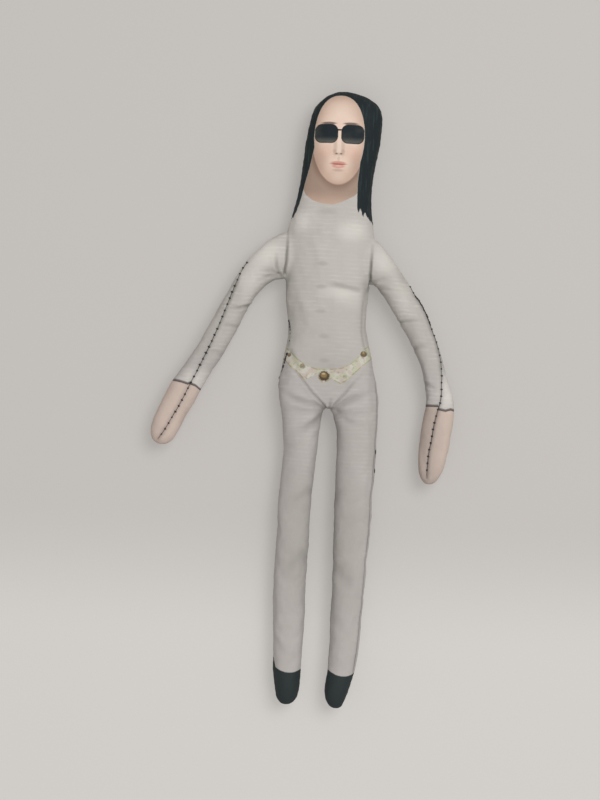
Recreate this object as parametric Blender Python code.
"""A cloth bendy doll, lying on its back with its arms a little out.

+X is to the right as one looks at its front, +Y runs towards the head and +Z
comes out of the chest. Every limb is a run of stuffed cloth sections round a
bendable wire. At each bend one section ends in a round knob, and the next one
is hollowed to go round it.
"""
import math

import bmesh
import bpy
from mathutils import Matrix, Vector

# Cloth, wire and gaps
CLOTH_THICKNESS = 0.0007
CLEARANCE = 0.0003
KNOB_CLEARANCE = 0.0005
WIRE_RADIUS = 0.0008
OVERRUN = 0.004
EARLY_START = 0.001
REST_FLAT_DEPTH = 0.0005

# Body: half widths and half depths
BODY_HALF_DEPTH = 0.0110
WAIST_HALF_WIDTH = 0.0178
RIBS_HALF_WIDTH = 0.0186
CHEST_HALF_WIDTH = 0.0193
COLLAR_HALF_WIDTH = 0.0176
COLLAR_HALF_DEPTH = 0.0092
HIP_HALF_WIDTH = 0.0222
CROTCH_HALF_WIDTH = 0.0205
CROTCH_HALF_DEPTH = 0.0090

# Body: lengths along its axis
CROTCH_TO_WAIST = 0.0330
WAIST_TO_COLLAR = 0.0530
NECK_LENGTH = 0.0115
HEAD_LENGTH = 0.0470
CROTCH_ROUND = 0.0040
HEAD_ROUND = 0.0165

# Head and neck
NECK_HALF_WIDTH = 0.0166
NECK_HALF_DEPTH = 0.0095
HEAD_HALF_WIDTH = 0.0172
HEAD_HALF_DEPTH = 0.0110

# Arms
SHOULDER_REACH = 0.0200
SHOULDER_HEIGHT = 0.0366
SHOULDER_HALF_WIDTH = 0.0096
SHOULDER_HALF_DEPTH = 0.0080
ARM_TOP_HALF_WIDTH = 0.0071
ARM_TOP_HALF_DEPTH = 0.0064
UPPER_ARM_HALF_WIDTH = 0.0066
ELBOW_HALF_WIDTH = 0.0060
ELBOW_HALF_DEPTH = 0.0055
FOREARM_HALF_WIDTH = 0.0062
WRIST_HALF_WIDTH = 0.0063
WRIST_HALF_DEPTH = 0.0052
PALM_HALF_WIDTH = 0.0067
PALM_HALF_DEPTH = 0.0055
SHOULDER_LENGTH = 0.0140
UPPER_ARM_LENGTH = 0.0245
FOREARM_LENGTH = 0.0365
LEFT_HAND_LENGTH = 0.0345
RIGHT_HAND_LENGTH = 0.0300
HAND_ROUND = 0.0070

# Legs
LEG_REACH = 0.0132
LEG_HEIGHT = 0.0040
LEG_TOP_HALF_WIDTH = 0.0084
LEG_TOP_HALF_DEPTH = 0.0078
THIGH_HALF_WIDTH = 0.0078
KNEE_HALF_WIDTH = 0.0071
KNEE_HALF_DEPTH = 0.0066
CALF_HALF_WIDTH = 0.0070
ANKLE_HALF_WIDTH = 0.0063
ANKLE_HALF_DEPTH = 0.0058
SHOE_HALF_WIDTH = 0.0066
SHOE_HALF_DEPTH = 0.0062
LEG_ROOT_LENGTH = 0.0110
THIGH_LENGTH = 0.0570
SHIN_LENGTH = 0.0495
SHOE_LENGTH = 0.0220
SHOE_ROUND = 0.0075

# The pose, in degrees: a lean turns a section's upward axis towards -X
HIPS_LEAN = 2.6
TORSO_LEAN = 2.3
NECK_LEAN = -4.0
HEAD_LEAN = -5.0
# how far below the level the shoulder, upper arm, forearm and hand each point
LEFT_ARM_FALLS = (48.5, 61.5, 71.0, 94.0)
RIGHT_ARM_FALLS = (42.0, 58.0, 60.0, 65.5)

# Ranges of the bends, in degrees; more is forwards, upwards or outwards, but it is
# inwards at the elbow, backwards at the knee, and backwards where the right arm swings
WAIST_RANGE = (-30.0, 60.0)
NOD_RANGE = (-30.0, 40.0)
TILT_RANGE = (-20.0, 20.0)
LEFT_RAISE_RANGE = (-8.0, 100.0)
RIGHT_RAISE_RANGE = (-20.0, 95.0)
SWING_RANGE = (-60.0, 60.0)
LEFT_ELBOW_RANGE = (-90.0, 12.0)
RIGHT_ELBOW_RANGE = (-90.0, 25.0)
WRIST_RANGE = (-60.0, 60.0)
SPREAD_RANGE = (-2.0, 25.0)
LIFT_RANGE = (-30.0, 90.0)
KNEE_RANGE = (-20.0, 100.0)
ANKLE_RANGE = (-35.0, 35.0)
# how much wider than its limb's range the hip's hollow opens, for a blunt lip
HIP_LIP_ANGLE = 25.0

# How round the ends are, and how finely everything is drawn
HEAD_ROUND_POWER = 2.5
LIMB_ROUND_POWER = 2.0
BODY_SIDES = 16
LIMB_SIDES = 12
WIRE_SIDES = 8
SCOOP_STEPS = 12
KNOB_TURN_SHARE = 0.3
ROD_TURN_SHARE = 0.35
KNOB_SHARES = (0.4, 0.72, 0.93)
TIP_SHARES = (0.4, 0.7, 0.9, 0.99)

COLOURS = {
    "white_cloth": ((0.80, 0.80, 0.79), 0.9, 0.0),
    "head_cloth": ((0.62, 0.47, 0.42), 0.9, 0.0),
    "hair_cloth": ((0.02, 0.02, 0.025), 0.85, 0.0),
    "skin_cloth": ((0.78, 0.58, 0.50), 0.9, 0.0),
    "shoe_cloth": ((0.03, 0.05, 0.045), 0.85, 0.0),
    "stuffing": ((0.88, 0.88, 0.86), 1.0, 0.0),
    "wire": ((0.55, 0.56, 0.58), 0.35, 1.0),
}


def mix(a, b, share):
    return a + (b - a) * share


def new_collection(name):
    collection = bpy.data.collections.new(name)
    bpy.context.scene.collection.children.link(collection)
    return collection


def new_material(name):
    colour, roughness, metallic = COLOURS[name]
    material = bpy.data.materials.new(name)
    material.use_nodes = True
    shader = material.node_tree.nodes["Principled BSDF"]
    shader.inputs["Base Color"].default_value = (*colour, 1)
    shader.inputs["Roughness"].default_value = roughness
    shader.inputs["Metallic"].default_value = metallic
    return material


def section_rings(section, grow):
    """(place, half width, half depth) of each ring, grown all round by grow."""
    rings = []
    shape = section["shape"]
    if section.get("start"):
        for share in reversed(KNOB_SHARES):
            rounding = math.sqrt(1 - share * share)
            rings.append((-(section["start"] + grow) * share,
                          (shape[0][1] + grow) * rounding, (shape[0][2] + grow) * rounding))
    for share, width, depth in shape:
        rings.append((section["length"] * share, width + grow, depth + grow))
    width, depth = shape[-1][1] + grow, shape[-1][2] + grow
    if section.get("end"):
        for share in KNOB_SHARES:
            rounding = math.sqrt(1 - share * share)
            rings.append((section["length"] + (section["end"] + grow) * share,
                          width * rounding, depth * rounding))
    else:
        power = section["power"]
        place = rings[-1][0]
        for share in TIP_SHARES:
            rounding = (1 - share ** power) ** (1 / power)
            rings.append((place + (section["length"] + grow - place) * share,
                          width * rounding, depth * rounding))
    return rings


def section_mesh(name, section, grow, extra=0.0):
    """A closed skin lofted through a section's rings, along its own +Y.

    An end without a knob starts early, because the cutters of the bend shape it.
    """
    sides = section["sides"]
    floor = -(BODY_HALF_DEPTH - REST_FLAT_DEPTH) - grow
    rings = section_rings(section, grow)
    if not section.get("start"):
        rings[0] = (rings[0][0] - EARLY_START - extra, *rings[0][1:])
    work = bmesh.new()
    loops = []
    for place, width, depth in rings:
        angles = [math.tau * (i + 0.5) / sides for i in range(sides)]
        loops.append([work.verts.new((width * math.cos(a), place, max(depth * math.sin(a), floor)))
                      for a in angles])
    for first, second in zip(loops, loops[1:]):
        for i in range(sides):
            j = (i + 1) % sides
            work.faces.new((first[i], first[j], second[j], second[i]))
    work.faces.new(loops[0])
    work.faces.new(loops[-1])
    bmesh.ops.recalc_face_normals(work, faces=work.faces)
    return finish_mesh(name, work)


def finish_mesh(name, work):
    mesh = bpy.data.meshes.new(name)
    work.to_mesh(mesh)
    work.free()
    mesh.shade_smooth()
    mesh.set_sharp_from_angle(angle=math.radians(50))
    return mesh


def rod_mesh(name, start, end, radius):
    """A straight round bar along +Y."""
    work = bmesh.new()
    place = (Matrix.Translation((0, (start + end) / 2, 0)) @ Matrix.Rotation(math.radians(-90), 4, "X")
             @ Matrix.Rotation(math.tau / WIRE_SIDES * ROD_TURN_SHARE, 4, "Z"))
    bmesh.ops.create_cone(work, cap_ends=True, segments=WIRE_SIDES, radius1=radius, radius2=radius,
                          depth=end - start, matrix=place)
    return finish_mesh(name, work)


def box_mesh(name, low, high):
    work = bmesh.new()
    size = [b - a for a, b in zip(low, high)]
    centre = [(a + b) / 2 for a, b in zip(low, high)]
    bmesh.ops.create_cube(work, size=1, matrix=Matrix.Translation(centre) @ Matrix.Diagonal((*size, 1)))
    return finish_mesh(name, work)


def prism_mesh(name, outline, depth):
    """A flat outline raised both ways to a closed prism."""
    curve = bpy.data.curves.new(name, "CURVE")
    curve.dimensions = "2D"
    curve.fill_mode = "BOTH"
    curve.extrude = depth
    spline = curve.splines.new("POLY")
    spline.points.add(len(outline) - 1)
    for point, (x, y) in zip(spline.points, outline):
        point.co = (x, y, 0, 1)
    spline.use_cyclic_u = True
    holder = bpy.data.objects.new(name, curve)
    bpy.context.scene.collection.objects.link(holder)
    graph = bpy.context.evaluated_depsgraph_get()
    mesh = bpy.data.meshes.new_from_object(holder.evaluated_get(graph))
    bpy.data.objects.remove(holder)
    bpy.data.curves.remove(curve)
    work = bmesh.new()
    work.from_mesh(mesh)
    bpy.data.meshes.remove(mesh)
    bmesh.ops.remove_doubles(work, verts=work.verts, dist=CLEARANCE / 10)
    bmesh.ops.recalc_face_normals(work, faces=work.faces)
    return finish_mesh(name, work)


def scoop_mesh(name, centre, radius, first, last):
    """The space that a limb sweeps, right through the body that it turns on.

    first and last are the limb's headings at its limits, in degrees from +X.
    The hollow is round on the body's side and opens along the limb's two edges.
    """
    reach = radius + BODY_HALF_DEPTH * 2
    start, stop = last + 90, first + 270
    angles = [math.radians(start + (stop - start) * i / SCOOP_STEPS) for i in range(SCOOP_STEPS + 1)]
    outline = [(centre[0] + radius * math.cos(a), centre[1] + radius * math.sin(a)) for a in angles]
    corners = []
    for (x, y), heading, share in ((outline[-1], first, 1), (centre, (first + last) / 2, 2),
                                   (outline[0], last, 1)):
        angle = math.radians(heading)
        corners.append((x + reach * share * math.cos(angle), y + reach * share * math.sin(angle)))
    return prism_mesh(name, outline + corners, BODY_HALF_DEPTH + OVERRUN)


def knob_mesh(name, radius, half_height, sides):
    """A knob round its own Z, whose flats lie outside the given sizes."""
    work = bmesh.new()
    outside = 1 / math.cos(math.pi / sides) ** 2
    # a part turn keeps the knob's edges off the middle lines of what it cuts
    size = (Matrix.Diagonal((radius * outside, radius * outside, half_height * outside, 1))
            @ Matrix.Rotation(math.tau / sides * KNOB_TURN_SHARE, 4, "Z"))
    bmesh.ops.create_uvsphere(work, u_segments=sides, v_segments=sides // 2, radius=1, matrix=size)
    return finish_mesh(name, work)


def wedge_mesh(name, radius, bend_right, bend_left, depth):
    """The room that a straight limb of the given radius needs behind its knob.

    The limb comes up its own +Y to the middle of the knob, and the piece ahead
    of it turns to the right and to the left by the two bends.
    """
    reach = radius + BODY_HALF_DEPTH * 2
    right, left = math.radians(bend_right), math.radians(bend_left)
    touch_right = (radius * math.cos(right), radius * math.sin(right))
    touch_left = (-radius * math.cos(left), radius * math.sin(left))
    far_right = (touch_right[0] + reach * math.sin(right), touch_right[1] - reach * math.cos(right))
    far_left = (touch_left[0] - reach * math.sin(left), touch_left[1] - reach * math.cos(left))
    outline = [touch_left, far_left, (-2 * reach, -2 * reach), (2 * reach, -2 * reach), far_right, touch_right]
    return prism_mesh(name, outline, depth)


def add_object(name, mesh, parent, collection, matrix=Matrix()):
    item = bpy.data.objects.new(name, mesh)
    collection.objects.link(item)
    item.parent = parent
    item.matrix_basis = matrix
    return item


def add_node(name, mesh, parent, material, cutters=()):
    node = add_object(name, mesh, parent, parts)
    mesh.materials.append(materials[material])
    for cutter in cutters:
        add_cut(node, cutter)
    return node


def add_cut(node, cutter, operation="DIFFERENCE"):
    """One Boolean; the knobs and wedges nearly touch, where the exact solver loses whole pieces."""
    cut = node.modifiers.new(cutter.name, "BOOLEAN")
    cut.operation = operation
    cut.solver = "MANIFOLD"
    cut.object = cutter


def add_cutter(name, mesh, parent, matrix=Matrix()):
    cutter = add_object(name, mesh, parent, cutting, matrix)
    cutter.hide_render = True
    cutter.display_type = "WIRE"
    return cutter


def add_body(name, parent, pivot, heading):
    """An empty on a bend's axis, its +Y along the section that turns on it."""
    frame = Matrix.Translation((*pivot, 0)) @ Matrix.Rotation(math.radians(heading), 4, "Z")
    body = bpy.data.objects.new(name, None)
    parts.objects.link(body)
    body.empty_display_size = OVERRUN
    body.parent = parent
    body.matrix_basis = frames[parent.name].inverted() @ frame
    frames[name] = frame
    return body


def point_in(body, x, y):
    """A point of a body's own plane, in the doll's plane."""
    place = frames[body.name] @ Matrix.Translation((x, y, 0))
    return place.translation[:2]


def bend_cutters(body, parent, section, at_start=False):
    """What a body leaves free for the knob of its parent's section, all along its bend."""
    pivot, axis, limits = bends[body.name]
    shape = section["shape"][::-1] if at_start else section["shape"]
    width, depth = shape[-1][1:]
    width_behind, depth_behind = shape[-2][1:]
    seat = frames[parent.name] @ Matrix.Rotation(math.radians(180 if at_start else 0), 4, "Z")
    seen = frames[body.name].inverted() @ Matrix.Translation(pivot) @ seat.to_3x3().to_4x4()
    if axis.z:
        radius, radius_behind, half_height = width, width_behind, depth
        offset = -math.degrees(seen.to_euler().z)
        turns = sorted(axis.z * limit for limit in limits)
        bends_to = (-turns[0] - offset, turns[1] + offset)
        place = Matrix()
    else:
        radius, radius_behind, half_height = depth, depth_behind, width
        forwards = axis.dot(frames[body.name].col[0].xyz) > 0
        bends_to = (limits[1], -limits[0]) if forwards else (-limits[0], limits[1])
        place = seen @ Matrix.Rotation(math.radians(-90), 4, "Y")
    radius_behind = max(radius, mix(radius, radius_behind, radius / section["length"]))
    knob = knob_mesh(f"{body.name}_knob", radius + KNOB_CLEARANCE, half_height + KNOB_CLEARANCE,
                     section["sides"] + 4)
    wedge = wedge_mesh(f"{body.name}_wedge", radius_behind + CLEARANCE, *bends_to, half_height + OVERRUN)
    return [add_cutter(mesh.name, mesh, body, place) for mesh in (knob, wedge)]


def add_bend(name, parent, pivot, heading, limits, flat=False, sign=1):
    """A body that turns about +Z where flat, or else about its parent's width."""
    body = add_body(name, parent, pivot, heading)
    axis = Vector((0, 0, 1))
    if not flat:
        axis = frames[parent.name].col[0].xyz.normalized()
        if axis.dot(frames[name].col[0].xyz) < 0:
            axis = -axis
    bends[name] = (Vector((*pivot, 0)), axis * sign, limits)
    return body


def wire_end(section):
    return section["length"] * section["shape"][-1][0] + section.get("end", 0) / 2


def add_sleeve(body, section, cutters, cloth, parent_reach):
    """Cloth tube, stuffing and wire of one section that goes round its parent's knob."""
    name = body.name
    hollow = section_mesh(f"{name}_hollow", section, -CLOTH_THICKNESS, OVERRUN)
    hollow = add_cutter(f"{name}_hollow", hollow, body)
    add_node(f"{name}_cloth", section_mesh(f"{name}_cloth", section, 0), body, cloth, [*cutters, hollow])
    filling = section_mesh(f"{name}_stuffing", section, -CLOTH_THICKNESS - CLEARANCE)
    bore = add_wire(body, section, parent_reach + CLOTH_THICKNESS + CLEARANCE)
    add_node(f"{name}_stuffing", filling, body, "stuffing", [*cutters, bore])


def add_wire(body, section, start):
    """The wire of a section, and the cutter that bores its stuffing for it."""
    name = body.name
    end = wire_end(section)
    add_node(f"{name}_wire", rod_mesh(f"{name}_wire", start, end, WIRE_RADIUS), body, "wire")
    early = start - OVERRUN - BODY_HALF_DEPTH
    bore = rod_mesh(f"{name}_bore", early, end + CLEARANCE, WIRE_RADIUS + CLEARANCE)
    return add_cutter(f"{name}_bore", bore, body)


def add_knob_sleeve(body, section, cloth):
    """A short section with a knob at each end: filled cloth, bored for its wire."""
    bore = add_wire(body, section, -section["start"] * KNOB_SHARES[-1])
    name = f"{body.name}_cloth"
    add_node(name, section_mesh(name, section, 0), body, cloth, [bore])


def add_pillow(body, section, cutters, bores, front, back):
    """Front and back panels, seamed along the sides, and the stuffing between them."""
    name = body.name
    hollow = section_mesh(f"{name}_hollow", section, -CLOTH_THICKNESS, OVERRUN)
    hollow = add_cutter(f"{name}_hollow", hollow, body)
    side = HIP_HALF_WIDTH + OVERRUN
    low = -BODY_HALF_DEPTH - OVERRUN
    high = section["length"] + BODY_HALF_DEPTH + OVERRUN
    for (panel, cloth), sign in ((front, 1), (back, -1)):
        near, far = sorted((sign * CLEARANCE / 2, sign * low))
        other = box_mesh(f"{panel}_other_half", (-side, low, near), (side, high, far))
        other = add_cutter(f"{panel}_other_half", other, body)
        add_node(panel, section_mesh(panel, section, 0), body, cloth, [hollow, *cutters, other])
    filling = section_mesh(f"{name}_stuffing", section, -CLOTH_THICKNESS - CLEARANCE)
    add_node(f"{name}_stuffing", filling, body, "stuffing", [*cutters, *bores])


def add_scoop(body, limb_name, centre, radius, first, last):
    """The hollow in a body for a limb whose centre and headings are the doll's own."""
    mesh = scoop_mesh(f"{limb_name}_scoop", centre, radius + CLEARANCE, first, last)
    return add_cutter(f"{limb_name}_scoop", mesh, body, frames[body.name].inverted())


for thing in list(bpy.data.objects):
    bpy.data.objects.remove(thing)
parts = new_collection("bendy_doll")
cutting = new_collection("bendy_doll_cutters")
materials = {name: new_material(name) for name in COLOURS}
doll = bpy.data.objects.new("doll", None)
parts.objects.link(doll)
frames = {"doll": Matrix()}
bends = {}

# Torso, which carries everything
torso_section = {
    "length": WAIST_TO_COLLAR, "sides": BODY_SIDES, "start": BODY_HALF_DEPTH, "end": COLLAR_HALF_DEPTH,
    "shape": ((0, WAIST_HALF_WIDTH, BODY_HALF_DEPTH), (0.3, RIBS_HALF_WIDTH, BODY_HALF_DEPTH),
              (0.62, CHEST_HALF_WIDTH, BODY_HALF_DEPTH), (0.86, CHEST_HALF_WIDTH, BODY_HALF_DEPTH),
              (1, COLLAR_HALF_WIDTH, COLLAR_HALF_DEPTH)),
}
lean = math.radians(HIPS_LEAN)
waist = (-CROTCH_TO_WAIST * math.sin(lean), CROTCH_TO_WAIST * math.cos(lean))
torso = add_body("torso", doll, waist, TORSO_LEAN)
arm_scoops = []
shoulders = {}
for side, name, falls, limits in ((1, "left", LEFT_ARM_FALLS, LEFT_RAISE_RANGE),
                                  (-1, "right", RIGHT_ARM_FALLS, RIGHT_RAISE_RANGE)):
    shoulders[name] = point_in(torso, side * SHOULDER_REACH, SHOULDER_HEIGHT)
    headings = sorted(90 + side * (limit - falls[0] - 90) for limit in limits)
    arm_scoops.append(add_scoop(torso, f"{name}_arm", shoulders[name], SHOULDER_HALF_WIDTH, *headings))
crossbar = Matrix.Translation((0, SHOULDER_HEIGHT, WIRE_RADIUS / 2)) @ Matrix.Rotation(math.radians(90), 4, "Z")
torso_bores = [add_cutter("spine_bore", rod_mesh("spine_bore", -CLEARANCE, WAIST_TO_COLLAR + CLEARANCE,
                                                 WIRE_RADIUS + CLEARANCE), torso),
               add_cutter("crossbar_bore", rod_mesh("crossbar_bore", -SHOULDER_REACH, SHOULDER_REACH,
                                                    WIRE_RADIUS + CLEARANCE), torso, crossbar)]
add_pillow(torso, torso_section, arm_scoops, torso_bores,
           ("torso_front_panel", "white_cloth"), ("torso_back_panel", "white_cloth"))
bar = add_cutter("crossbar", rod_mesh("crossbar", -SHOULDER_REACH, SHOULDER_REACH, WIRE_RADIUS), torso, crossbar)
spine = add_node("torso_wire", rod_mesh("torso_wire", 0, WAIST_TO_COLLAR, WIRE_RADIUS), torso, "wire")
add_cut(spine, bar, "UNION")
for scoop in arm_scoops:
    add_cut(spine, scoop)

# Hips, with a hollow for each leg
hips_section = {
    "length": CROTCH_TO_WAIST, "sides": BODY_SIDES, "power": LIMB_ROUND_POWER,
    "shape": ((0, WAIST_HALF_WIDTH, BODY_HALF_DEPTH), (0.3, HIP_HALF_WIDTH, BODY_HALF_DEPTH),
              (0.7, HIP_HALF_WIDTH, BODY_HALF_DEPTH),
              (1 - CROTCH_ROUND / CROTCH_TO_WAIST, CROTCH_HALF_WIDTH, CROTCH_HALF_DEPTH)),
}
hips = add_bend("hips", torso, waist, 180 + HIPS_LEAN, WAIST_RANGE)
leg_scoops = []
for side, name in ((1, "left"), (-1, "right")):
    headings = sorted(-90 + side * limit for limit in (SPREAD_RANGE[0], SPREAD_RANGE[1] + HIP_LIP_ANGLE))
    leg_scoops.append(add_scoop(hips, f"{name}_leg", (side * LEG_REACH, LEG_HEIGHT), LEG_TOP_HALF_WIDTH,
                                *headings))
hips_cutters = bend_cutters(hips, torso, torso_section, at_start=True)
hips_bore = add_wire(hips, hips_section, BODY_HALF_DEPTH + CLOTH_THICKNESS + CLEARANCE)
add_pillow(hips, hips_section, [*hips_cutters, *leg_scoops], [hips_bore],
           ("hips_front_panel", "white_cloth"), ("hips_back_panel", "white_cloth"))

# Neck and head
neck_section = {
    "length": NECK_LENGTH, "sides": BODY_SIDES, "end": NECK_HALF_WIDTH,
    "shape": ((0, COLLAR_HALF_WIDTH, COLLAR_HALF_DEPTH), (1, NECK_HALF_WIDTH, NECK_HALF_DEPTH)),
}
head_section = {
    "length": HEAD_LENGTH, "sides": BODY_SIDES, "power": HEAD_ROUND_POWER,
    "shape": ((0, NECK_HALF_WIDTH, NECK_HALF_DEPTH), (0.4, HEAD_HALF_WIDTH, HEAD_HALF_DEPTH),
              (1 - HEAD_ROUND / HEAD_LENGTH, HEAD_HALF_WIDTH, HEAD_HALF_DEPTH)),
}
neck = add_bend("neck", torso, point_in(torso, 0, WAIST_TO_COLLAR), NECK_LEAN, NOD_RANGE)
add_sleeve(neck, neck_section, bend_cutters(neck, torso, torso_section), "white_cloth", COLLAR_HALF_DEPTH)
head = add_bend("head", neck, point_in(neck, 0, NECK_LENGTH), HEAD_LEAN, TILT_RANGE, True, -1)
head_bore = add_wire(head, head_section, NECK_HALF_WIDTH + CLOTH_THICKNESS + CLEARANCE)
add_pillow(head, head_section, bend_cutters(head, neck, neck_section), [head_bore],
           ("head_front_panel", "head_cloth"), ("head_back_panel", "hair_cloth"))

# Arms: shoulder, upper arm, forearm and hand
shoulder_section = {
    "length": SHOULDER_LENGTH, "sides": LIMB_SIDES, "start": SHOULDER_HALF_WIDTH, "end": ARM_TOP_HALF_DEPTH,
    "shape": ((0, SHOULDER_HALF_WIDTH, SHOULDER_HALF_DEPTH), (1, ARM_TOP_HALF_WIDTH, ARM_TOP_HALF_DEPTH)),
}
upper_arm_section = {
    "length": UPPER_ARM_LENGTH, "sides": LIMB_SIDES, "end": ELBOW_HALF_WIDTH,
    "shape": ((0, ARM_TOP_HALF_WIDTH, ARM_TOP_HALF_DEPTH), (0.5, UPPER_ARM_HALF_WIDTH, ELBOW_HALF_DEPTH),
              (1, ELBOW_HALF_WIDTH, ELBOW_HALF_DEPTH)),
}
forearm_section = {
    "length": FOREARM_LENGTH, "sides": LIMB_SIDES, "end": WRIST_HALF_DEPTH,
    "shape": ((0, ELBOW_HALF_WIDTH, ELBOW_HALF_DEPTH), (0.5, FOREARM_HALF_WIDTH, ELBOW_HALF_DEPTH),
              (1, WRIST_HALF_WIDTH, WRIST_HALF_DEPTH)),
}
for side, name, falls, raise_range, elbow_range, hand_length in (
        (1, "left", LEFT_ARM_FALLS, LEFT_RAISE_RANGE, LEFT_ELBOW_RANGE, LEFT_HAND_LENGTH),
        (-1, "right", RIGHT_ARM_FALLS, RIGHT_RAISE_RANGE, RIGHT_ELBOW_RANGE, RIGHT_HAND_LENGTH)):
    headings = [-side * (90 + fall) for fall in falls]
    hand_section = {
        "length": hand_length, "sides": LIMB_SIDES, "power": LIMB_ROUND_POWER,
        "shape": ((0, WRIST_HALF_WIDTH, WRIST_HALF_DEPTH), (0.4, PALM_HALF_WIDTH, PALM_HALF_DEPTH),
                  (1 - HAND_ROUND / hand_length, PALM_HALF_WIDTH, PALM_HALF_DEPTH)),
    }
    shoulder = add_bend(f"{name}_shoulder", torso, shoulders[name], headings[0], raise_range, True, side)
    add_knob_sleeve(shoulder, shoulder_section, "white_cloth")
    upper_arm = add_bend(f"{name}_upper_arm", shoulder, point_in(shoulder, 0, SHOULDER_LENGTH),
                         headings[1], SWING_RANGE, sign=side)
    add_sleeve(upper_arm, upper_arm_section, bend_cutters(upper_arm, shoulder, shoulder_section),
               "white_cloth", ARM_TOP_HALF_DEPTH)
    forearm = add_bend(f"{name}_forearm", upper_arm, point_in(upper_arm, 0, UPPER_ARM_LENGTH),
                       headings[2], elbow_range, True, -side)
    add_sleeve(forearm, forearm_section, bend_cutters(forearm, upper_arm, upper_arm_section),
               "white_cloth", ELBOW_HALF_WIDTH)
    hand = add_bend(f"{name}_hand", forearm, point_in(forearm, 0, FOREARM_LENGTH), headings[3], WRIST_RANGE)
    add_sleeve(hand, hand_section, bend_cutters(hand, forearm, forearm_section), "skin_cloth",
               WRIST_HALF_DEPTH)

# Legs: root, thigh, shin and shoe
leg_root_section = {
    "length": LEG_ROOT_LENGTH, "sides": LIMB_SIDES, "start": LEG_TOP_HALF_WIDTH, "end": LEG_TOP_HALF_DEPTH,
    "shape": ((0, LEG_TOP_HALF_WIDTH, LEG_TOP_HALF_DEPTH), (1, LEG_TOP_HALF_WIDTH, LEG_TOP_HALF_DEPTH)),
}
thigh_section = {
    "length": THIGH_LENGTH, "sides": LIMB_SIDES, "end": KNEE_HALF_DEPTH,
    "shape": ((0, LEG_TOP_HALF_WIDTH, LEG_TOP_HALF_DEPTH), (0.5, THIGH_HALF_WIDTH, LEG_TOP_HALF_DEPTH),
              (1, KNEE_HALF_WIDTH, KNEE_HALF_DEPTH)),
}
shin_section = {
    "length": SHIN_LENGTH, "sides": LIMB_SIDES, "end": ANKLE_HALF_DEPTH,
    "shape": ((0, KNEE_HALF_WIDTH, KNEE_HALF_DEPTH), (0.5, CALF_HALF_WIDTH, KNEE_HALF_DEPTH),
              (1, ANKLE_HALF_WIDTH, ANKLE_HALF_DEPTH)),
}
shoe_section = {
    "length": SHOE_LENGTH, "sides": LIMB_SIDES, "power": LIMB_ROUND_POWER,
    "shape": ((0, ANKLE_HALF_WIDTH, ANKLE_HALF_DEPTH), (0.35, SHOE_HALF_WIDTH, SHOE_HALF_DEPTH),
              (1 - SHOE_ROUND / SHOE_LENGTH, SHOE_HALF_WIDTH, SHOE_HALF_DEPTH)),
}
for side, name in ((1, "left"), (-1, "right")):
    leg_root = add_bend(f"{name}_leg_root", hips, (side * LEG_REACH, LEG_HEIGHT), 180, SPREAD_RANGE, True, side)
    add_knob_sleeve(leg_root, leg_root_section, "white_cloth")
    thigh = add_bend(f"{name}_thigh", leg_root, point_in(leg_root, 0, LEG_ROOT_LENGTH), 180, LIFT_RANGE)
    add_sleeve(thigh, thigh_section, bend_cutters(thigh, leg_root, leg_root_section), "white_cloth",
               LEG_TOP_HALF_DEPTH)
    shin = add_bend(f"{name}_shin", thigh, point_in(thigh, 0, THIGH_LENGTH), 180, KNEE_RANGE, sign=-1)
    add_sleeve(shin, shin_section, bend_cutters(shin, thigh, thigh_section), "white_cloth", KNEE_HALF_DEPTH)
    shoe = add_bend(f"{name}_shoe", shin, point_in(shin, 0, SHIN_LENGTH), 180, ANKLE_RANGE)
    add_sleeve(shoe, shoe_section, bend_cutters(shoe, shin, shin_section), "shoe_cloth", ANKLE_HALF_DEPTH)

# The origin is under the middle of the whole doll, on the surface that it lies on
graph = bpy.context.evaluated_depsgraph_get()
corners = []
for node in parts.objects:
    if node.type == "MESH":
        solid = node.evaluated_get(graph)
        corners += [solid.matrix_world @ vertex.co for vertex in solid.data.vertices]
spans = [(min(c[i] for c in corners), max(c[i] for c in corners)) for i in range(3)]
doll.location = (-sum(spans[0]) / 2, -sum(spans[1]) / 2, -spans[2][0])
